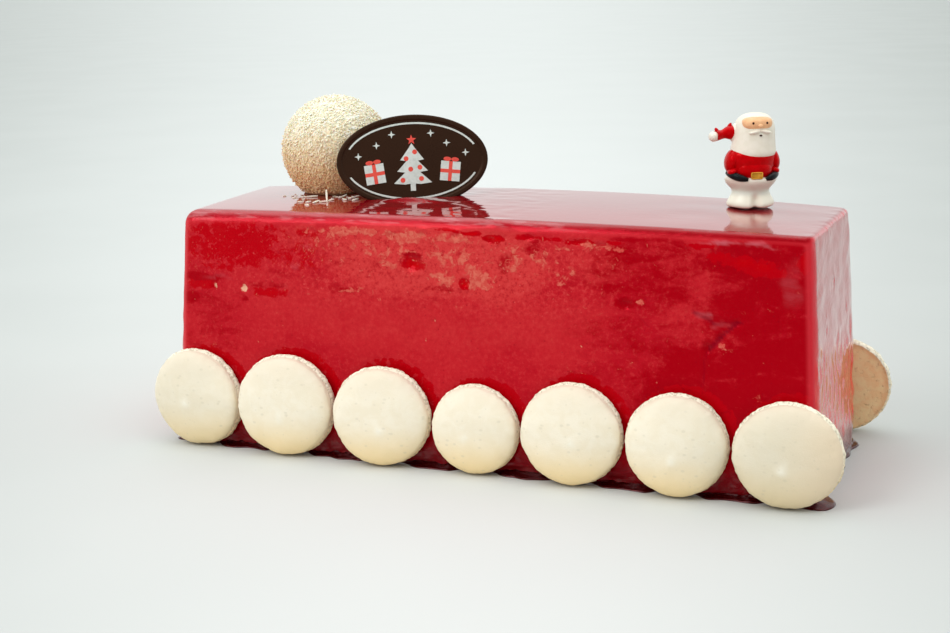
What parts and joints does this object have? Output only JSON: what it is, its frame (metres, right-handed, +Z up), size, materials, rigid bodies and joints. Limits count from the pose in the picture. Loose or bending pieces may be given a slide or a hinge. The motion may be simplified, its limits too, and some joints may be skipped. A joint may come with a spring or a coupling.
{
  "type": "yule log cake",
  "caption": "Long mirror-glazed log cake with macaron shells along its foot, a coconut ball, an oval chocolate plaque and a small festive topper on its flat top.",
  "frame": {"origin": "centre of the log's flat base, on the surface that the cake stands on", "axes": "+X along the log towards the end with the topper, +Y from the front row of shells to the back row, +Z up"},
  "size_m": [0.2726, 0.1078, 0.1326],
  "materials": {
    "glaze": "polished",
    "macaron": "matte",
    "coconut": "matte",
    "chocolate": "satin",
    "topper": "gloss"
  },
  "bodies": {
    "root": {"cake_log": "glaze", "shell_front_1": "macaron", "shell_front_2": "macaron", "shell_front_3": "macaron", "shell_front_4": "macaron", "shell_front_5": "macaron", "shell_front_6": "macaron", "shell_front_7": "macaron", "shell_back_1": "macaron", "shell_back_2": "macaron", "shell_back_3": "macaron", "shell_back_4": "macaron", "shell_back_5": "macaron", "shell_back_6": "macaron", "shell_back_7": "macaron", "coconut_ball": "coconut", "plaque": "chocolate", "topper": "topper"}
  },
  "joints": []
}
